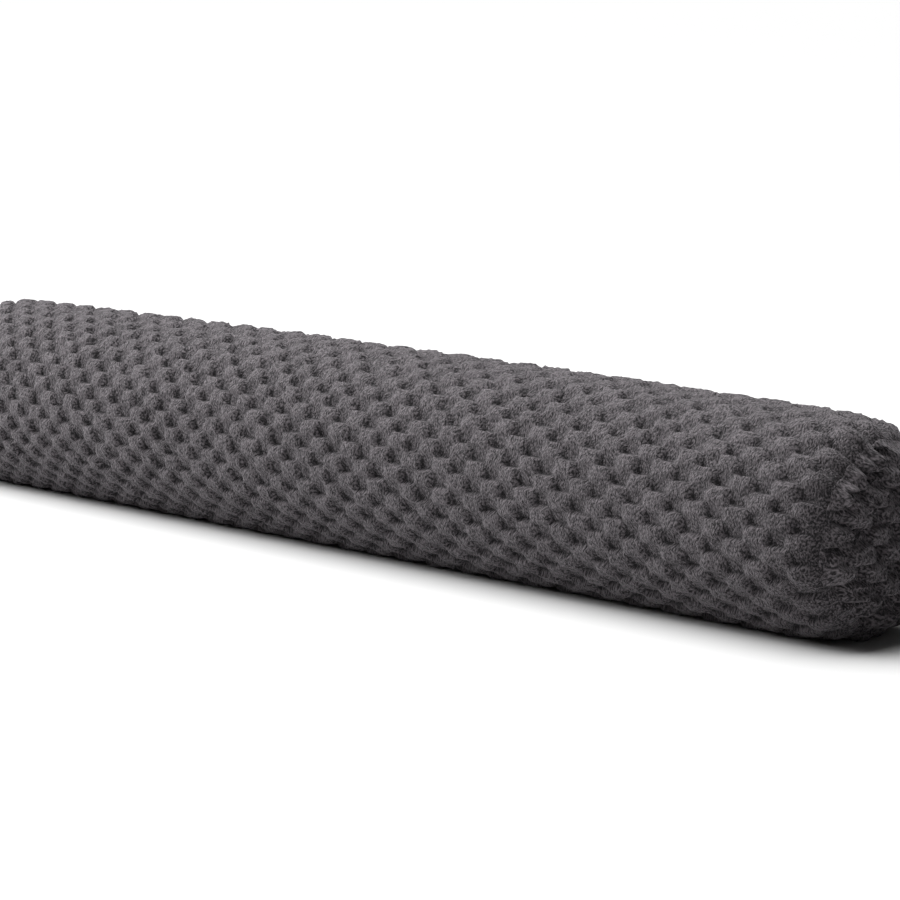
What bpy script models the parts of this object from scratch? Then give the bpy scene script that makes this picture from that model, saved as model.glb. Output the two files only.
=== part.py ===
"""Body pillow: a long round bolster in a cover of sculpted plush.

The cover is a tube closed by a round panel at each end. The plush has raised pads in
half-drop rows, so the tube is divided into squares that are raised and sunk by turns.
The pillow lies on its side along X. Its origin is on the surface under its middle, and
the near end is at +X. Lengths are in metres.
"""

import math

import bpy
import numpy as np

# Driving sizes
LENGTH = 1.220
MEAN_RADIUS = 0.094
END_CROWN = 0.019
SEAM_GAP = 0.0003

# The plush: a pad and a hollow repeat along the tube, and two rows of them round it
PADS_ALONG = 31
ROWS_ROUND = 42
PAD_RISE = 0.0030
HOLLOW_DROP = 0.0025
STRETCH = 0.178  # the pads are this share longer at the near seam and shorter at the far one

# The stuffed shape
LOBE = 0.019  # the weight swells the crown and the two lower flanks by this share
SETTLED_ROWS = 2  # rows on each side of the middle that lie on the surface
TAPER = 0.020  # the ends are this share slimmer than the middle
SEAM_DRAW = 0.12  # the end seams pull the radius in by this share
SEAM_ROUND = 0.065  # length of tube that turns in towards a seam
SEAM_ROUND_POWER = 2.4
GATHERS = 9  # soft folds round each seam
GATHER_DEPTH = 0.0016

# The end panels
PANEL_SECTORS = 72
PANEL_RINGS = 10
PANEL_FLATNESS = 2.6  # power of the bulge: 2 is a parabola, more is flatter in the middle
PANEL_PAD_ALONG = 0.038
PANEL_PAD_ROUND = 0.0288
PANEL_RIM_PLAIN = 0.88  # the relief fades out between this share of the radius and the seam

# The plush's finish
PLUSH_COLOUR = (0.088, 0.080, 0.086, 1.0)
PLUSH_ROUGHNESS = 0.95

SEAM_X = LENGTH / 2 - END_CROWN
ROW_ANGLE = 2 * math.pi / ROWS_ROUND


def section_radius(turn):
    """Radius of the tube's section at an angle measured from straight down."""
    return MEAN_RADIUS * (1 - LOBE * np.cos(3 * turn))


def axis_height():
    """Height of the tube's axis at which its settled rows reach the surface."""
    edge = SETTLED_ROWS * ROW_ANGLE
    return float(section_radius(edge) * math.cos(edge))


def taper(x):
    """Share of the full size that the section keeps at x."""
    return 1 - TAPER * (x / SEAM_X) ** 2


def seam_draw(x):
    """Share of the radius that is left where the tube turns in towards a seam."""
    closeness = np.clip(1 - (SEAM_X - np.abs(x)) / SEAM_ROUND, 0, 1)
    return 1 - SEAM_DRAW * closeness**SEAM_ROUND_POWER


def gathers(x, turn):
    """Depth of the soft folds that run out from the seams."""
    closeness = np.clip(1 - (SEAM_X - np.abs(x)) / SEAM_ROUND, 0, 1)
    phase = np.where(x > 0, 0.6, 2.1)
    wave = np.cos(GATHERS * turn + phase + 0.7 * np.sin(2 * turn + phase))
    return GATHER_DEPTH * closeness * wave


def skin(x, turn, rise):
    """Points of the stuffed cover, at x and at an angle from straight down, raised by rise.

    The section is drawn in about the axis near a seam, slimmed about the surface it lies
    on towards the ends, and pressed flat where it would go below that surface.
    """
    radius = section_radius(turn) * seam_draw(x) + gathers(x, turn) + rise
    slim = taper(x)
    y = slim * radius * np.sin(turn)
    z = slim * (axis_height() - radius * np.cos(turn))
    return np.stack(np.broadcast_arrays(x, y, np.maximum(z, 0)), axis=-1)


def square_edge(column):
    """Place along X of the edge between two columns of squares, longer towards +X."""
    share = column / (2 * PADS_ALONG)
    stretched = share + STRETCH * share * (share - 1)
    return SEAM_X * (2 * stretched - 1)


def add_object(name, points, faces, material):
    """Makes a mesh object from its points and faces."""
    mesh = bpy.data.meshes.new(name)
    mesh.from_pydata(points.tolist(), [], faces)
    mesh.materials.append(material)
    mesh.validate()
    mesh.shade_smooth()
    mesh.set_sharp_from_angle(angle=math.radians(60))
    thing = bpy.data.objects.new(name, mesh)
    bpy.context.scene.collection.objects.link(thing)
    return thing


def make_tube(name, material):
    """The stuffed tube: squares with raised or sunk middles, closed by a flat face at each seam."""
    columns = 2 * PADS_ALONG
    edge_x = square_edge(np.arange(columns + 1))
    edge_turn = ROW_ANGLE * np.arange(ROWS_ROUND)
    corners = skin(edge_x[:, None], edge_turn[None, :], 0.0)

    middle_x = (edge_x[:-1] + edge_x[1:]) / 2
    middle_turn = edge_turn + ROW_ANGLE / 2
    parity = np.add.outer(np.arange(columns), np.arange(ROWS_ROUND)) % 2
    rise = np.where(parity == 0, PAD_RISE, -HOLLOW_DROP)
    middles = skin(middle_x[:, None], middle_turn[None, :], rise)

    ends = np.array([[end, 0.0, axis_height() * taper(end)] for end in (-SEAM_X, SEAM_X)])
    points = np.concatenate([corners.reshape(-1, 3), middles.reshape(-1, 3), ends])

    def corner(column, row):
        return column * ROWS_ROUND + row % ROWS_ROUND

    first_middle = len(points) - 2 - columns * ROWS_ROUND
    far_hub, near_hub = len(points) - 2, len(points) - 1
    faces = []
    for column in range(columns):
        for row in range(ROWS_ROUND):
            ring = [
                corner(column, row),
                corner(column, row + 1),
                corner(column + 1, row + 1),
                corner(column + 1, row),
            ]
            middle = first_middle + column * ROWS_ROUND + row
            faces += [(ring[k], ring[(k + 1) % 4], middle) for k in range(4)]
    for row in range(ROWS_ROUND):
        faces.append((corner(0, row + 1), corner(0, row), far_hub))
        faces.append((corner(columns, row), corner(columns, row + 1), near_hub))
    return add_object(name, points, faces, material)


def panel_relief(y, z):
    """Relief of the plush on an end panel: rounded pads and hollows in half-drop rows."""
    along = 2 * math.pi * y / PANEL_PAD_ALONG
    across = 2 * math.pi * z / PANEL_PAD_ROUND
    wave = (np.cos(along) + np.cos(across)) / 2
    height = np.sign(wave) * np.sqrt(np.abs(wave))
    return np.where(wave > 0, PAD_RISE, HOLLOW_DROP) * height


def make_end_panel(name, side, material):
    """A round panel, domed by the filling, on the tube's end at side 1 or -1 along X.

    Its rings share out the way from the hub to the seam. The front bulges by a power law,
    and the back is flat against the tube's end.
    """
    turn = 2 * math.pi * np.arange(PANEL_SECTORS) / PANEL_SECTORS
    seam = skin(np.float64(side * SEAM_X), turn, 0.0)
    hub = np.array([side * SEAM_X, 0.0, axis_height() * taper(SEAM_X)])
    share = np.arange(1, PANEL_RINGS + 1)[:, None] / PANEL_RINGS

    rings = hub + (seam - hub)[None] * share[..., None]
    bulge = (END_CROWN - SEAM_GAP - PAD_RISE) * (1 - share**PANEL_FLATNESS)
    fade = np.clip((1 - share) / (1 - PANEL_RIM_PLAIN), 0, 1)
    relief = panel_relief(rings[..., 1], rings[..., 2] - hub[2]) * fade
    rings[..., 0] = side * (SEAM_X + SEAM_GAP + bulge + relief)

    front_hub = hub + [side * END_CROWN, 0, 0]
    back_hub = hub + [side * SEAM_GAP, 0, 0]
    points = np.concatenate([rings.reshape(-1, 3), [front_hub, back_hub]])

    def spot(ring, sector):
        return ring * PANEL_SECTORS + sector % PANEL_SECTORS

    front_number, back_number = len(points) - 2, len(points) - 1
    faces = []
    for sector in range(PANEL_SECTORS):
        faces.append((spot(0, sector), spot(0, sector + 1), front_number))
        faces.append((spot(PANEL_RINGS - 1, sector + 1), spot(PANEL_RINGS - 1, sector), back_number))
        for ring in range(PANEL_RINGS - 1):
            inner, inner_next = spot(ring, sector), spot(ring, sector + 1)
            outer, outer_next = spot(ring + 1, sector), spot(ring + 1, sector + 1)
            faces += [(inner, outer, outer_next), (inner, outer_next, inner_next)]
    if side < 0:
        faces = [face[::-1] for face in faces]
    return add_object(name, points, faces, material)


def plush():
    """The cover's charcoal plush."""
    material = bpy.data.materials.new("plush")
    material.use_nodes = True
    shader = material.node_tree.nodes["Principled BSDF"]
    shader.inputs["Base Color"].default_value = PLUSH_COLOUR
    shader.inputs["Roughness"].default_value = PLUSH_ROUGHNESS
    shader.inputs["Metallic"].default_value = 0.0
    return material


def main():
    """Builds the pillow from an empty scene."""
    for thing in list(bpy.data.objects):
        bpy.data.objects.remove(thing)
    cloth = plush()
    make_tube("bolster_tube", cloth)
    make_end_panel("end_panel_near", 1, cloth)
    make_end_panel("end_panel_far", -1, cloth)


main()
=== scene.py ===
"""Looks of the body pillow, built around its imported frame.

The pillow is a stuffed tube of sculpted plush with a round panel sewn into each end. It
lies along X on a pale floor. Every cover piece is a grid of points worked out with numpy:
one direction runs along the cloth and the other runs round it. Lengths are in metres.
"""

import logging
import math
from dataclasses import dataclass, field
from enum import Enum
from itertools import product

import bpy
import numpy as np
from mathutils import Euler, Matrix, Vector


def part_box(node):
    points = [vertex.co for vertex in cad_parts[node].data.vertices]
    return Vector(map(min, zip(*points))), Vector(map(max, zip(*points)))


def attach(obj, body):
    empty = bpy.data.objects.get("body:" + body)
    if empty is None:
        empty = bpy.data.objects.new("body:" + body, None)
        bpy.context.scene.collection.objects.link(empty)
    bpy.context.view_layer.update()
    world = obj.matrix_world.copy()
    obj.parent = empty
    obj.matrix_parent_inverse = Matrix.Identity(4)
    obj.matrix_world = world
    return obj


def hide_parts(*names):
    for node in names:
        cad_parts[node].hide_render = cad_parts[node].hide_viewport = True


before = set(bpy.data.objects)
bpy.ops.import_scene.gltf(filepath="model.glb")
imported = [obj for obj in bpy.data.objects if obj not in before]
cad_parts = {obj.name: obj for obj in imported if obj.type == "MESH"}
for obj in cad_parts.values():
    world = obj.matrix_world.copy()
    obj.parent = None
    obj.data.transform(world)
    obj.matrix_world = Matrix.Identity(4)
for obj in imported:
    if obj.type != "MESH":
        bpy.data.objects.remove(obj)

ROOT = "root"
CLOTH_MAP = "cloth"
BAKE_MAP = "OFBake"
# The height layer is the relief's height, which the material also turns into painted shade in
# the hollows.
HEIGHT_AND_SHADE_LAYER = "pile_height"
TINT_LAYER = "pad_tint"
EDGE_LAYER = "wall_distance"
# The crease layer is a painted shadow at the foot of the pads' walls.
SHADE_LAYER = "crease_depth"

log = logging.getLogger("body_pillow")


class End(Enum):
    """The pillow's two ends, by the side of X that they are on."""

    NEAR = 1
    FAR = -1


def smooth_step(low: float, high: float, value: np.ndarray) -> np.ndarray:
    """Rises smoothly from 0 at low to 1 at high, as 3t^2 - 2t^3.

    Args:
        low: value at which the step starts.
        high: value at which it ends.
        value: numbers to place on the step.

    Returns:
        The height of the step for each number.
    """
    share = np.clip((value - low) / (high - low), 0.0, 1.0)
    return share * share * (3.0 - 2.0 * share)


def cloth_noise(
    across: np.ndarray, around: np.ndarray, cells_round: int, seed: int
) -> np.ndarray:
    """Soft random waves: random values on a lattice, joined by smooth steps.

    Args:
        across: first lattice coordinate, of any range.
        around: second lattice coordinate, which repeats after cells_round.
        cells_round: number of lattice cells in the second direction.
        seed: number that fixes the random values.

    Returns:
        Values between -1 and 1.
    """
    low = int(np.floor(across.min()))
    count = int(np.ceil(across.max())) - low + 2
    table = np.random.default_rng(seed).uniform(-1.0, 1.0, (count, cells_round))
    first = np.floor(across).astype(int)
    second = np.floor(around).astype(int)
    u = smooth_step(0.0, 1.0, across - first)
    v = smooth_step(0.0, 1.0, around - second)
    i = first - low
    j, j_next = second % cells_round, (second + 1) % cells_round
    lower = table[i, j] * (1 - u) + table[i + 1, j] * u
    upper = table[i, j_next] * (1 - u) + table[i + 1, j_next] * u
    return lower * (1 - v) + upper * v


@dataclass(frozen=True)
class SculptedPlush:
    """The plush's relief: rounded square pads in half-drop rows, each a little different.

    Places on the cloth are counted in squares, half a repeat each way. Every other square
    holds a pad, which is a little larger than its square.
    """

    half_along: float = 0.62
    half_round: float = 0.60
    squareness: float = 4.0
    wall_start: float = 0.80
    wall_end: float = 1.0
    slope_start: float = 0.55
    slope_end: float = 1.12
    foot: float = 0.62
    foot_end: float = 2.5
    foot_side: tuple[float, float] = (0.8, 1.4)
    crown: float = 0.08
    lean: float = 0.16
    shift: float = 0.07
    size_spread: float = 0.08
    height_spread: float = 0.16
    edge_limit: float = 1.6
    crease_shadow_inside: tuple[float, float] = (0.5, 0.8)
    crease_shadow_outside: tuple[float, float] = (1.15, 1.5)
    crease_shadow_corner: tuple[float, float] = (0.20, 0.65)
    crease_shadow_least: float = 0.36
    seed: int = 7

    def relief(
        self, along: np.ndarray, around: np.ndarray, rows: int
    ) -> dict[str, np.ndarray]:
        """The pile's layers: height, each pad's tint, the distance from the pads' walls and a
        painted shadow in the creases at them.

        The height runs from 0 in a hollow to about 1 on a pad. Each place looks at the
        pads in its own square and in the eight squares round it, and the highest counts.

        The nap is combed to the upper right, so a pad falls off in a steep wall there and
        more gently to the lower left. Each is a step in a distance from the pad's middle,
        the power mean of how far a place is to the right and up, or to the left and down.
        A pad's foot runs on below it like a roof tile, down to the wall of the next pad.

        Args:
            along: place along the cloth, in squares.
            around: place round it, in squares, growing downwards on the camera's side.
            rows: number of squares round the cloth, after which the pads repeat.

        Returns:
            The value of each layer at each place, by the layer's name.
        """
        own, left, below = (0, 0), (-1, 0), (0, 1)
        low = int(np.floor(along.min())) - 2
        count = int(np.ceil(along.max())) + 3 - low
        table = np.random.default_rng(self.seed).uniform(-1.0, 1.0, (count, rows, 6))
        column, row = np.floor(along).astype(int), np.floor(around).astype(int)
        height, tint = np.zeros(along.shape), np.zeros(along.shape)
        edge = np.full(along.shape, self.edge_limit)
        for step in product((-1, 0, 1), repeat=2):
            pad_column, pad_row = column + step[0], row + step[1]
            is_pad = (pad_column + pad_row) % 2 == 0
            chance = table[pad_column - low, pad_row % rows]
            wide = self.half_along * (1 + self.size_spread * chance[..., 2])
            tall = self.half_round * (1 + self.size_spread * chance[..., 3])
            u = (along - pad_column - 0.5 - self.shift * chance[..., 0]) / wide
            v = (around - pad_row - 0.5 - self.shift * chance[..., 1]) / tall
            to_wall = self.reach(np.maximum(u, 0.0), np.maximum(-v, 0.0))
            to_slope = self.reach(np.maximum(-u, 0.0), np.maximum(v, 0.0))
            pad = 1 - smooth_step(self.wall_start, self.wall_end, to_wall)
            top = 1 - smooth_step(self.slope_start, self.slope_end, to_slope)
            dome = 1 - self.crown * (to_wall**2 + to_slope**2) + self.lean * (u - v) / 2
            down = np.maximum(v, 0.0) / self.foot_end
            foot = self.foot * np.clip(1 - down**2, 0.0, 1.0)
            foot = foot * (1 - smooth_step(*self.foot_side, -u))
            top = top * dome * (1 + self.height_spread * chance[..., 4])
            pad = pad * (top * (1 - foot) + foot) * is_pad
            tint = np.where(pad > height, chance[..., 5], tint)
            height = np.maximum(height, pad)
            if step in (own, left, below):
                edge = np.where(is_pad, np.minimum(edge, to_wall), edge)
        # Painted shadow in the creases at the foot of the pads' walls.
        crease_shadow = self.painted_crease_shadow(along - column, row + 1 - around, (column + row) % 2 == 0, edge)
        return {HEIGHT_AND_SHADE_LAYER: height, TINT_LAYER: tint, EDGE_LAYER: edge, SHADE_LAYER: crease_shadow}

    def painted_crease_shadow(
        self, right: np.ndarray, up: np.ndarray, is_pad: np.ndarray, edge: np.ndarray
    ) -> np.ndarray:
        """How dark the painted shadow at the foot of a wall is, darkest at a hollow's lower
        left.

        Args:
            right: place in the square, from its left side.
            up: place in the square, from its lower side.
            is_pad: whether the square holds a pad.
            edge: distance from the pad whose wall is nearest, 1 at the wall.

        Returns:
            The painted shadow's strength, from 0 away from the walls to 1.
        """
        beside = np.minimum(np.hypot(right - 1, up), np.hypot(right, up - 1))
        corner = np.where(is_pad, beside, np.hypot(right, up))
        near_wall = smooth_step(*self.crease_shadow_inside, edge)
        near_wall = near_wall * (1 - smooth_step(*self.crease_shadow_outside, edge))
        darkest = 1 - smooth_step(*self.crease_shadow_corner, corner)
        return near_wall * (self.crease_shadow_least + (1 - self.crease_shadow_least) * darkest)

    def reach(self, first: np.ndarray, second: np.ndarray) -> np.ndarray:
        """Power mean of two distances, which gives a square with round corners."""
        power = self.squareness
        return (first**power + second**power) ** (1 / power)


@dataclass(frozen=True)
class StuffedTube:
    """The shape of the filled tube, by the place along X and the angle from straight down.

    The radius, lobes, rows and taper are the part's own driving sizes, and the seams'
    places come from the frame. Lengths near a seam are measured from it.
    """

    seam_x: float
    mean_radius: float = 0.094
    lobe: float = 0.019
    rows: int = 42
    settled_rows: int = 2
    taper: float = 0.020
    draw: float = 0.10
    round_length: float = 0.065
    round_power: float = 2.4
    near_phase: float = 0.6
    far_phase: float = 2.1
    gather_count: int = 9
    gather_depth: float = 0.0016
    gather_wander: float = 0.7
    pucker_count: int = 23
    pucker_depth: float = 0.0022
    pucker_length: float = 0.040
    pucker_power: float = 1.5
    pucker_wander: tuple[float, float] = (1.3, 0.9)
    pucker_mean: float = 1.3
    pucker_spread: float = 0.35
    tuck_length: float = 0.014
    tuck_depth: float = 0.0045

    def axis_height(self) -> float:
        """Height of the axis at which the settled rows reach the floor."""
        edge = self.settled_rows * 2 * math.pi / self.rows
        return float(self.section_radius(np.array(edge)) * math.cos(edge))

    def section_radius(self, turn: np.ndarray) -> np.ndarray:
        """Radius of the section: a circle with three soft lobes, one of them at the crown."""
        return self.mean_radius * (1 - self.lobe * np.cos(3 * turn))

    def slimness(self, x: np.ndarray) -> np.ndarray:
        """Share of full size at x: 1 in the middle, less with the square of x."""
        return 1 - self.taper * (x / self.seam_x) ** 2

    def closeness(self, x: np.ndarray, reach: float) -> np.ndarray:
        """1 at a seam, falling evenly to 0 at a distance of reach from it."""
        return np.clip(1 - (self.seam_x - np.abs(x)) / reach, 0.0, 1.0)

    def puckers(self, x: np.ndarray, turn: np.ndarray) -> np.ndarray:
        """Folds that the seam's stitches pull in, deepest at the seam.

        Soft gathers and sharper, uneven puckers are cosines of the angle, whose phase
        wanders with the angle too. Both fade with the distance from the seam.

        Args:
            x: place along X.
            turn: angle from straight down.

        Returns:
            The change of radius at each place.
        """
        phase = np.where(x > 0, self.near_phase, self.far_phase)
        wander = self.gather_wander * np.sin(2 * turn + phase)
        soft = np.cos(self.gather_count * turn + phase + wander)
        slow, fast = self.pucker_wander
        wander = slow * np.sin(3 * turn + 2 * phase) + fast * np.sin(7 * turn + phase)
        sharp = np.abs(np.cos(self.pucker_count / 2 * turn + wander)) * 2 - self.pucker_mean
        strength = 1 - self.pucker_spread + self.pucker_spread * np.cos(2 * turn - phase)
        near_seam = self.closeness(x, self.pucker_length) ** self.pucker_power
        return (
            self.gather_depth * self.closeness(x, self.round_length) * soft
            + self.pucker_depth * near_seam * sharp * strength
        )

    def skin(self, x: np.ndarray, turn: np.ndarray, rise: np.ndarray) -> np.ndarray:
        """Points of the cover, raised by rise, pressed flat where they meet the floor.

        The radius is the section's, drawn in by a power law near a seam, tucked in over
        the last stretch, puckered and raised. Then the section is slimmed about the floor.

        Args:
            x: place along X.
            turn: angle from straight down.
            rise: height above the middle of the pile.

        Returns:
            An array of points with the shape of the inputs.
        """
        draw = 1 - self.draw * self.closeness(x, self.round_length) ** self.round_power
        tuck = self.tuck_depth * self.closeness(x, self.tuck_length) ** 2
        radius = self.section_radius(turn) * draw + self.puckers(x, turn) - tuck + rise
        slim = self.slimness(x)
        y = slim * radius * np.sin(turn)
        z = slim * (self.axis_height() - radius * np.cos(turn))
        return np.stack(np.broadcast_arrays(x, y, np.maximum(z, 0.0)), axis=-1)


@dataclass(frozen=True)
class Span:
    """A range of values and the range that it is mapped to, clamped at both ends."""

    low: float
    high: float
    to_low: float
    to_high: float


@dataclass(frozen=True)
class PileNoise:
    """Noise on the cloth map: its cells to a metre, octaves, swirl and stretch."""

    scale: float
    detail: float
    swirl: float
    stretch: tuple[float, float, float] = (1.0, 1.0, 1.0)


@dataclass(frozen=True)
class NodeBoard:
    """The nodes and links of one material, with the few steps that the plush needs."""

    nodes: bpy.types.Nodes
    links: bpy.types.NodeLinks

    def layer(self, name: str) -> bpy.types.NodeSocket:
        """The value of one of the piece's own layers."""
        node = self.nodes.new("ShaderNodeAttribute")
        node.attribute_name = name
        return node.outputs["Fac"]

    def noise(self, place: bpy.types.Node, turn: float, kind: PileNoise) -> bpy.types.NodeSocket:
        """Noise on the cloth map.

        Args:
            place: node that gives the place on the cloth, in metres.
            turn: angle that the pattern is turned by on the cloth.
            kind: the noise's sizes.

        Returns:
            The noise's value socket.
        """
        mapping = self.nodes.new("ShaderNodeMapping")
        mapping.inputs["Scale"].default_value = kind.stretch
        mapping.inputs["Rotation"].default_value = (0.0, 0.0, turn)
        self.links.new(place.outputs["UV"], mapping.inputs["Vector"])
        node = self.nodes.new("ShaderNodeTexNoise")
        node.inputs["Scale"].default_value = kind.scale
        node.inputs["Detail"].default_value = kind.detail
        node.inputs["Distortion"].default_value = kind.swirl
        self.links.new(mapping.outputs["Vector"], node.inputs["Vector"])
        return node.outputs["Fac"]

    def remap(self, value: bpy.types.NodeSocket, span: Span) -> bpy.types.NodeSocket:
        """Maps a value by a span."""
        node = self.nodes.new("ShaderNodeMapRange")
        node.inputs["From Min"].default_value = span.low
        node.inputs["From Max"].default_value = span.high
        node.inputs["To Min"].default_value = span.to_low
        node.inputs["To Max"].default_value = span.to_high
        self.links.new(value, node.inputs["Value"])
        return node.outputs["Result"]

    def join(
        self, operation: str, first: bpy.types.NodeSocket, second: bpy.types.NodeSocket
    ) -> bpy.types.NodeSocket:
        """The result of one sum on two values."""
        node = self.nodes.new("ShaderNodeMath")
        node.operation = operation
        self.links.new(first, node.inputs[0])
        self.links.new(second, node.inputs[1])
        return node.outputs["Value"]

    def bump(self, height: bpy.types.NodeSocket, distance: float) -> bpy.types.Node:
        """A bump node that a height drives."""
        node = self.nodes.new("ShaderNodeBump")
        node.inputs["Distance"].default_value = distance
        self.links.new(height, node.inputs["Height"])
        return node


@dataclass(frozen=True)
class PlushFinish:
    """Short charcoal pile: streaky and clumped, with painted shade in the hollows, a painted
    shadow in the creases at the pads' walls, and softly lit at its tips by a sheen.
    """

    name: str = "plush_pile"
    tip_colour: tuple[float, float, float] = (0.120, 0.107, 0.115)
    root_and_shade_colour: tuple[float, float, float] = (0.010, 0.009, 0.010)
    nap_turn: float = 0.45
    streaks: PileNoise = PileNoise(1.0, 3.0, 0.2, (780.0, 400.0, 1.0))
    clumps: PileNoise = PileNoise(230.0, 2.0, 1.4)
    patches: PileNoise = PileNoise(26.0, 2.0, 0.3)
    hollow_shade_span: Span = Span(0.0, 0.8, 0.24, 0.46)
    streak_span: Span = Span(0.38, 0.62, -0.58, 0.58)
    clump_span: Span = Span(0.3, 0.7, -0.24, 0.20)
    patch_span: Span = Span(0.3, 0.7, -0.05, 0.05)
    tint_span: Span = Span(-1.0, 1.0, -0.05, 0.05)
    fray_span: Span = Span(0.3, 0.7, -0.14, 0.14)
    crease_shadow_span: Span = Span(0.96, 1.04, 0.0, 0.80)
    crease_shadow_fading: Span = Span(1.04, 1.30, 1.0, 0.0)
    bump_distance: float = 0.0016
    clump_distance: float = 0.0022
    roughness: float = 0.92
    specular: float = 0.25
    sheen: float = 0.22
    sheen_roughness: float = 0.45
    sheen_colour: tuple[float, float, float] = (0.80, 0.76, 0.80)

    def make(self) -> bpy.types.Material:
        """Builds the node material.

        Returns:
            The material, which reads the piece's cloth map and its four layers.
        """
        material = bpy.data.materials.new(self.name)
        material.use_nodes = True
        board = NodeBoard(material.node_tree.nodes, material.node_tree.links)
        shader = board.nodes["Principled BSDF"]
        shader.inputs["Roughness"].default_value = self.roughness
        shader.inputs["Specular IOR Level"].default_value = self.specular
        shader.inputs["Sheen Weight"].default_value = self.sheen
        shader.inputs["Sheen Roughness"].default_value = self.sheen_roughness
        shader.inputs["Sheen Tint"].default_value = (*self.sheen_colour, 1.0)

        place = board.nodes.new("ShaderNodeUVMap")
        place.uv_map = CLOTH_MAP
        streaks, clumps, patches = (
            board.noise(place, self.nap_turn, kind)
            for kind in (self.streaks, self.clumps, self.patches)
        )
        shade_and_grain = self.painted_shade(board, streaks)
        for value, span in (
            (streaks, self.streak_span),
            (clumps, self.clump_span),
            (patches, self.patch_span),
            (board.layer(TINT_LAYER), self.tint_span),
        ):
            shade_and_grain = board.join("ADD", shade_and_grain, board.remap(value, span))
        # The mix from the root colour to the tip colour carries the painted shade and shadow as
        # well as the pile's grain and each pad's tint.
        colour = board.nodes.new("ShaderNodeMix")
        colour.data_type = "RGBA"
        colour.inputs["A"].default_value = (*self.root_and_shade_colour, 1.0)
        colour.inputs["B"].default_value = (*self.tip_colour, 1.0)
        board.links.new(shade_and_grain, colour.inputs["Factor"])
        board.links.new(colour.outputs["Result"], shader.inputs["Base Color"])

        fine = board.bump(streaks, self.bump_distance)
        coarse = board.bump(clumps, self.clump_distance)
        board.links.new(coarse.outputs["Normal"], fine.inputs["Normal"])
        board.links.new(fine.outputs["Normal"], shader.inputs["Normal"])
        return material

    def painted_shade(self, board: NodeBoard, streaks: bpy.types.NodeSocket) -> bpy.types.NodeSocket:
        """Painted shade: darker in the hollows by the height layer, less a painted shadow in the
        creases at the pads' walls.

        Args:
            board: the material's nodes.
            streaks: the noise that frays the creases' edges.

        Returns:
            The lightness socket.
        """
        # Painted shade: the lower the pile, the darker it is painted.
        painted_shade = board.remap(board.layer(HEIGHT_AND_SHADE_LAYER), self.hollow_shade_span)
        frayed = board.remap(streaks, self.fray_span)
        edge = board.join("ADD", board.layer(EDGE_LAYER), frayed)
        # Painted shadow: a dark band just outside each pad's wall.
        outside = board.remap(edge, self.crease_shadow_span)
        painted_crease_shadow = board.join("MULTIPLY", outside, board.remap(edge, self.crease_shadow_fading))
        painted_crease_shadow = board.join("MULTIPLY", painted_crease_shadow, board.layer(SHADE_LAYER))
        return board.join("SUBTRACT", painted_shade, painted_crease_shadow)


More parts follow.
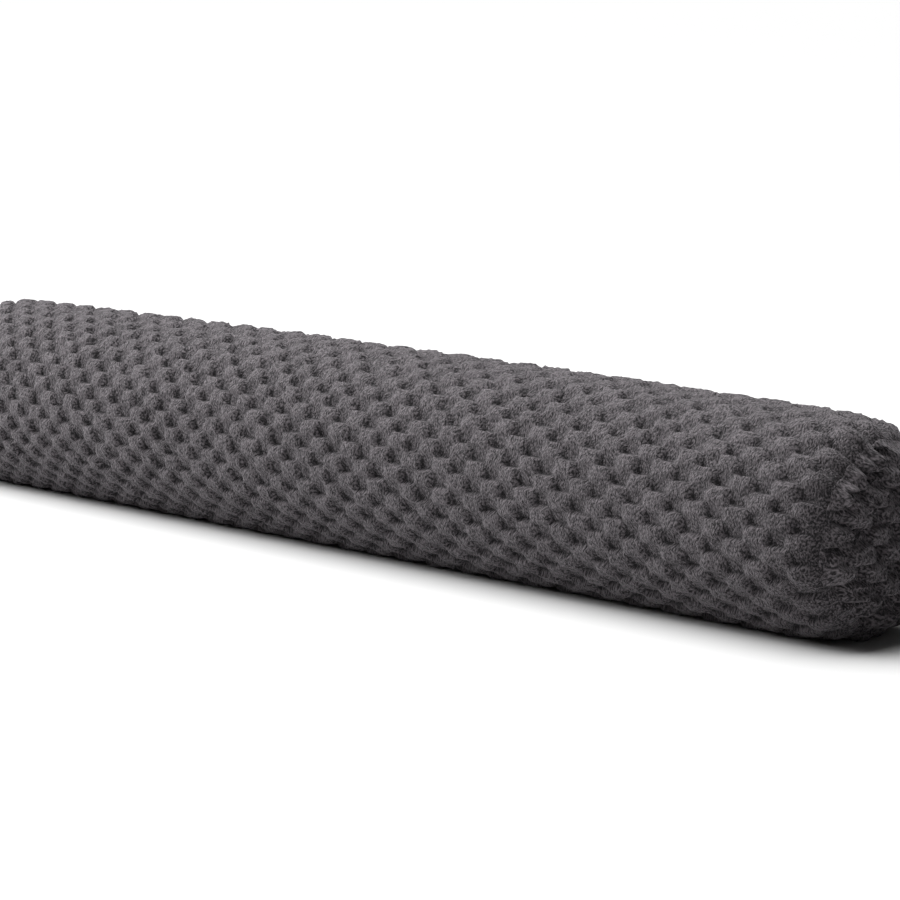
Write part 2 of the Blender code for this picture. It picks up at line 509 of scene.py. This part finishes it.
@dataclass
class ClothGrid:
    """A piece of cloth as a grid that closes round, with its maps and layers.

    Its points are an array of columns by rows. The last row joins the first, and a hub
    closes each end. On a disc one of the hubs, numbered by front, is in sight.
    """

    name: str
    points: np.ndarray
    along: np.ndarray
    around: np.ndarray
    layers: dict[str, np.ndarray]
    first_hub: np.ndarray
    last_hub: np.ndarray
    bake: np.ndarray
    front: int | None = None

    def quads(self) -> np.ndarray:
        """Corner numbers of the grid's faces, one row for each face."""
        columns, rows = self.points.shape[:2]
        spot = np.arange(columns * rows).reshape(columns, rows)
        after = np.roll(spot, -1, axis=1)
        return np.stack([spot[:-1], after[:-1], after[1:], spot[1:]], axis=-1).reshape(-1, 4)

    def fans(self) -> np.ndarray:
        """Corner numbers of the triangles that close the two ends on their hubs."""
        columns, rows = self.points.shape[:2]
        ring = np.arange(rows)
        after = np.roll(ring, -1)
        first = np.stack([after, ring, np.full(rows, columns * rows)], axis=-1)
        base = (columns - 1) * rows
        last = np.stack([ring + base, after + base, np.full(rows, columns * rows + 1)], axis=-1)
        return np.concatenate([first, last])

    def corner_places(self, quads: np.ndarray, values: np.ndarray, turn_of: float) -> np.ndarray:
        """Place of each quad's corners on a map that is cut open at the last row.

        Args:
            quads: the grid's faces.
            values: a map place for each point, columns by rows by 2.
            turn_of: what the second coordinate grows by in one full turn.

        Returns:
            One pair for each corner of each face.
        """
        places = values.reshape(-1, 2)[quads]
        rows = self.points.shape[1]
        wraps = (quads % rows)[:, 0] == rows - 1
        places[wraps, 1:3, 1] += turn_of
        return places.reshape(-1, 2)

    def fan_places(
        self, fans: np.ndarray, values: np.ndarray, middle: tuple[float, float]
    ) -> np.ndarray:
        """Place of each fan's corners on a map. A fan that is out of sight gets no room.

        Args:
            fans: the triangles that close the ends.
            values: a map place for each point, columns by rows by 2.
            middle: the map place of a disc's hub.

        Returns:
            One pair for each corner of each triangle.
        """
        places = np.zeros((len(fans), 3, 2))
        if self.front is not None:
            rows = self.points.shape[1]
            shown = slice(self.front * rows, (self.front + 1) * rows)
            table = np.concatenate([values.reshape(-1, 2), np.tile(middle, (2, 1))])
            places[shown] = table[fans[shown]]
        return places.reshape(-1, 2)

    def build(self, material: bpy.types.Material, girth: float) -> bpy.types.Object:
        """Makes the mesh object, with its maps, layers and material.

        Args:
            material: the cloth's finish.
            girth: length of cloth in one full turn, or 0 for a disc.

        Returns:
            The object, at the origin.
        """
        quads, fans = self.quads(), self.fans()
        flat = self.points.reshape(-1, 3)
        points = np.concatenate([flat, self.first_hub[None], self.last_hub[None]])
        mesh = bpy.data.meshes.new(self.name)
        mesh.from_pydata(points.tolist(), [], quads.tolist() + fans.tolist())
        cloth = np.stack([self.along, self.around], axis=-1)
        for name, values, turn_of, middle in (
            (CLOTH_MAP, cloth, girth, (0.0, 0.0)),
            (BAKE_MAP, self.bake, float(girth > 0), (0.5, 0.5)),
        ):
            layer = mesh.uv_layers.new(name=name)
            grid = self.corner_places(quads, values, turn_of)
            corners = np.concatenate([grid, self.fan_places(fans, values, middle)])
            layer.data.foreach_set("uv", corners.astype(np.float32).ravel())
        for name, values in self.layers.items():
            layer = mesh.attributes.new(name, "FLOAT", "POINT")
            filled = np.append(values.ravel(), [values.mean()] * 2)
            layer.data.foreach_set("value", filled.astype(np.float32))
        mesh.materials.append(material)
        mesh.shade_smooth()
        thing = bpy.data.objects.new(self.name, mesh)
        bpy.context.scene.collection.objects.link(thing)
        return thing


@dataclass
class Pillow:
    """The stuffed cover: a tube and two end panels, cut from one plush."""

    pads_along: float = 30.76
    stretch: float = 0.178
    column_phase: float = 0.5
    row_phase: float = 0.32
    pad_rise: float = 0.0040
    hollow_drop: float = 0.0027
    points_to_square: int = 6
    tuft: float = 0.0009
    tuft_cell: float = 0.0052
    fine_tufts: float = 0.8
    tube_seed: int = 11
    seam_shade: float = 0.8
    panel_rings: int = 60
    panel_ring_power: float = 0.85
    panel_pad: tuple[float, float] = (0.0190, 0.0150)
    panel_first_pad: int = 40
    panel_flatness: float = 3.2
    panel_lift: float = 1.8
    panel_tufts: float = 2.2
    panel_folds: float = 2.0
    panel_fold_reach: tuple[float, float] = (0.5, 0.9)
    panel_rim: float = 0.14
    panel_rim_shade: float = 0.3
    panel_seed: int = 23
    panel_tuft_shift: tuple[float, float] = (1.0, 0.3)
    panel_bake_side: float = 0.19
    plush: SculptedPlush = field(default_factory=SculptedPlush)

    def __post_init__(self) -> None:
        """Reads the seams' places and the end panels' reach from the frame."""
        _, tube_high = (np.array(corner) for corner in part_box("bolster_tube"))
        panel_low, panel_high = (np.array(corner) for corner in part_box("end_panel_near"))
        self.tube = StuffedTube(seam_x=float(tube_high[0]))
        self.seam_gap = float(panel_low[0] - tube_high[0])
        self.crown = float(panel_high[0] - panel_low[0])
        self.girth = 2 * math.pi * self.tube.mean_radius

    def place_along(self, squares: np.ndarray) -> np.ndarray:
        """Place along X of a number of squares from the far seam, longer towards +X."""
        share = squares / (2 * self.pads_along)
        stretched = share + self.stretch * share * (share - 1)
        return self.tube.seam_x * (2 * stretched - 1)

    def tufts(self, along: np.ndarray, around: np.ndarray, seed: int) -> np.ndarray:
        """Small uneven clumps of pile, as a change of height in metres."""
        cells_round = round(self.girth / self.tuft_cell)
        turn = around / self.girth
        coarse = cloth_noise(along / self.tuft_cell, turn * cells_round, cells_round, seed)
        fine = cloth_noise(
            2 * along / self.tuft_cell, turn * 2 * cells_round, 2 * cells_round, seed + 1
        )
        return self.tuft * (coarse + self.fine_tufts * fine)

    def rise(self, height: np.ndarray) -> np.ndarray:
        """How far the pile stands out of its middle, by its height layer."""
        return height * (self.pad_rise + self.hollow_drop) - self.hollow_drop

    def make_tube(self, material: bpy.types.Material) -> bpy.types.Object:
        """The tube's cover, from the far seam to the near one."""
        count = round(2 * self.pads_along * self.points_to_square)
        squares = np.linspace(0.0, 2 * self.pads_along, count + 1)[:, None]
        rows = self.tube.rows
        row_place = np.arange(rows * self.points_to_square)[None, :] / self.points_to_square
        squares, row_place = np.broadcast_arrays(squares, row_place)
        x = self.place_along(squares)
        turn = 2 * math.pi * row_place / rows
        along, around = x + self.tube.seam_x, self.girth * row_place / rows
        layers = self.plush.relief(
            squares + self.column_phase, row_place + self.row_phase, rows
        )
        near_seam = self.tube.closeness(x, self.tube.tuck_length) ** 2
        rise = self.rise(layers[HEIGHT_AND_SHADE_LAYER]) + self.tufts(along, around, self.tube_seed)
        rise = rise * (1 - near_seam)
        # Painted shade at the seam: the height layer is lowered over the tuck, so the material
        # paints it darker.
        layers[HEIGHT_AND_SHADE_LAYER] = layers[HEIGHT_AND_SHADE_LAYER] - self.seam_shade * near_seam
        points = self.tube.skin(x, turn, rise)
        hubs = [
            np.array([end * self.tube.seam_x, 0.0, self.hub_height()]) for end in (-1, 1)
        ]
        bake = np.stack([along / along.max(), row_place / rows], axis=-1)
        cover = ClothGrid("tube_cover", points, along, around, layers, *hubs, bake)
        return cover.build(material, self.girth)

    def hub_height(self) -> float:
        """Height of the tube's axis at a seam."""
        return float(self.tube.axis_height() * self.tube.slimness(np.array(self.tube.seam_x)))

    def make_panel(self, end: End, material: bpy.types.Material) -> bpy.types.Object:
        """A round end panel, bulged by the filling.

        Its rings run from the hub to the seam. The front stands out from the seam's plane
        by 1 less a power of the share of the radius, plus the relief.

        Args:
            end: the end that the panel closes.
            material: the cloth's finish.

        Returns:
            The panel's object.
        """
        side = end.value
        sectors = self.tube.rows * self.points_to_square
        turn = 2 * math.pi * np.arange(sectors)[None, :] / sectors
        rings = np.arange(1, self.panel_rings + 1)[:, None] / self.panel_rings
        share = rings**self.panel_ring_power
        seam_x = np.full(turn.shape, side * self.tube.seam_x)
        seam = self.tube.skin(seam_x, turn, np.zeros(turn.shape))
        hub = np.array([side * self.tube.seam_x, 0.0, self.hub_height()])
        points = hub + (seam - hub) * share[..., None]
        across, up = points[..., 1], points[..., 2] - hub[2]
        columns = across / self.panel_pad[0] + self.panel_first_pad
        rows = up / self.panel_pad[1] + self.panel_first_pad
        layers = self.plush.relief(columns, rows, 2 * self.panel_first_pad)
        height = layers[HEIGHT_AND_SHADE_LAYER] * self.panel_lift
        fade = smooth_step(0.0, self.panel_rim, 1 - share)
        tuft_along, tuft_round = self.panel_tuft_shift
        tufts = self.tufts(across + tuft_along, (up + tuft_round) % self.girth, self.panel_seed)
        folds = self.panel_folds * self.tube.puckers(seam_x, turn)
        folds = folds * smooth_step(*self.panel_fold_reach, share)
        rise = (self.rise(height) + self.panel_tufts * tufts + folds) * fade
        # Painted shade at the rim: the height layer is lowered towards the seam, so the material
        # paints it darker.
        layers[HEIGHT_AND_SHADE_LAYER] = height - self.panel_rim_shade * (1 - fade)
        bulge = (self.crown - self.pad_rise) * (1 - share**self.panel_flatness)
        points[..., 0] = side * (self.tube.seam_x + self.seam_gap + bulge + rise)
        front = hub + [side * (self.seam_gap + self.crown - self.pad_rise), 0.0, 0.0]
        back = hub + [side * self.seam_gap, 0.0, 0.0]
        bake = 0.5 + np.stack([across, up], axis=-1) / self.panel_bake_side
        if side < 0:
            points, across, up, bake = points[::-1], across[::-1], up[::-1], bake[::-1]
            layers = {name: values[::-1] for name, values in layers.items()}
            front, back = back, front
        name = "near_end_cover" if end is End.NEAR else "far_end_cover"
        shown = 0 if end is End.NEAR else 1
        cover = ClothGrid(name, points, across, up, layers, front, back, bake, shown)
        return cover.build(material, 0.0)

    def make(self) -> list[tuple[bpy.types.Object, str]]:
        """Makes every piece of the cover.

        Returns:
            Each piece with the node that it stands for.
        """
        plush = PlushFinish().make()
        return [
            (self.make_tube(plush), "bolster_tube"),
            (self.make_panel(End.NEAR, plush), "end_panel_near"),
            (self.make_panel(End.FAR, plush), "end_panel_far"),
        ]


@dataclass(frozen=True)
class SoftSun:
    """A very wide distant light, by the side that it comes from."""

    name: str
    comes_from: tuple[float, float, float]
    strength: float
    width: float

    def make(self) -> bpy.types.Object:
        """Makes the light, turned so that it shines from its side."""
        data = bpy.data.lights.new(self.name, "SUN")
        data.energy = self.strength
        data.angle = self.width
        lamp = bpy.data.objects.new(self.name, data)
        lamp.rotation_euler = Vector(self.comes_from).to_track_quat("Z", "Y").to_euler()
        bpy.context.scene.collection.objects.link(lamp)
        return lamp


@dataclass(frozen=True)
class SoftBox:
    """A square lamp near the far end, whose light weakens towards the near end."""

    name: str
    place: tuple[float, float, float]
    watts: float
    side: float

    def make(self) -> bpy.types.Object:
        """Makes the lamp, turned so that it faces the middle of the floor."""
        data = bpy.data.lights.new(self.name, "AREA")
        data.energy = self.watts
        data.size = self.side
        lamp = bpy.data.objects.new(self.name, data)
        lamp.location = self.place
        lamp.rotation_euler = Vector(self.place).to_track_quat("Z", "Y").to_euler()
        bpy.context.scene.collection.objects.link(lamp)
        return lamp


@dataclass(frozen=True)
class Studio:
    """A pale floor, a wide soft light from the left and above, a soft box and a surround."""

    floor_half: float = 60.0
    floor_drop: float = 0.0004
    floor_colour: tuple[float, float, float] = (0.58, 0.58, 0.58)
    floor_roughness: float = 0.9
    floor_specular: float = 0.1
    surround: float = 0.05
    key: SoftSun = SoftSun("key", (-0.50, 0.04, 0.86), 6.1, math.radians(74))
    fill: SoftBox = SoftBox("fill", (-1.7, -1.4, 1.7), 84.0, 1.6)

    def make_floor(self) -> bpy.types.Object:
        """The floor that the pillow lies on, which isn't part of it."""
        half, level = self.floor_half, -self.floor_drop
        sides = ((-half, -half), (half, -half), (half, half), (-half, half))
        corners = [(x, y, level) for x, y in sides]
        mesh = bpy.data.meshes.new("studio_floor")
        mesh.from_pydata(corners, [], [(0, 1, 2, 3)])
        material = bpy.data.materials.new("studio_floor")
        material.use_nodes = True
        shader = material.node_tree.nodes["Principled BSDF"]
        shader.inputs["Base Color"].default_value = (*self.floor_colour, 1.0)
        shader.inputs["Roughness"].default_value = self.floor_roughness
        shader.inputs["Specular IOR Level"].default_value = self.floor_specular
        mesh.materials.append(material)
        floor = bpy.data.objects.new("studio_floor", mesh)
        bpy.context.scene.collection.objects.link(floor)
        return floor

    def make_lights(self) -> None:
        """The two lights and the surround, shown without tone mapping."""
        self.key.make()
        self.fill.make()
        world = bpy.data.worlds.new("surround")
        world.use_nodes = True
        background = world.node_tree.nodes["Background"]
        background.inputs["Color"].default_value = (1.0, 1.0, 1.0, 1.0)
        background.inputs["Strength"].default_value = self.surround
        bpy.context.scene.world = world
        bpy.context.scene.view_settings.view_transform = "Standard"


@dataclass(frozen=True)
class Viewpoint:
    """The photograph's camera: a long lens, a little above the pillow, off its near end."""

    aim: tuple[float, float, float] = (0.0849, 0.0, 0.1001)
    azimuth: float = math.radians(45.80)
    elevation: float = math.radians(9.18)
    distance: float = 3.2875
    focal_pixels: float = 3586.8
    frame_pixels: float = 900.0
    sensor_width: float = 36.0

    def make(self) -> bpy.types.Object:
        """Places the camera and makes it the scene's."""
        data = bpy.data.cameras.new("camera")
        data.sensor_width = self.sensor_width
        data.lens = self.sensor_width * self.focal_pixels / self.frame_pixels
        camera = bpy.data.objects.new("camera", data)
        turn = Euler((math.pi / 2 - self.elevation, 0.0, self.azimuth))
        look = turn.to_matrix() @ Vector((0.0, 0.0, -1.0))
        camera.location = Vector(self.aim) - self.distance * look
        camera.rotation_euler = turn
        bpy.context.scene.collection.objects.link(camera)
        bpy.context.scene.camera = camera
        return camera


def main() -> None:
    """Builds the studio and the pillow."""
    logging.basicConfig(level=logging.INFO)
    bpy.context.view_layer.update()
    Viewpoint().make()
    studio = Studio()
    studio.make_floor()
    studio.make_lights()
    for piece, node in Pillow().make():
        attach(piece, ROOT)
        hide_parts(node)
        log.info("%s: %d points", piece.name, len(piece.data.vertices))


if __name__ == "__main__":
    main()
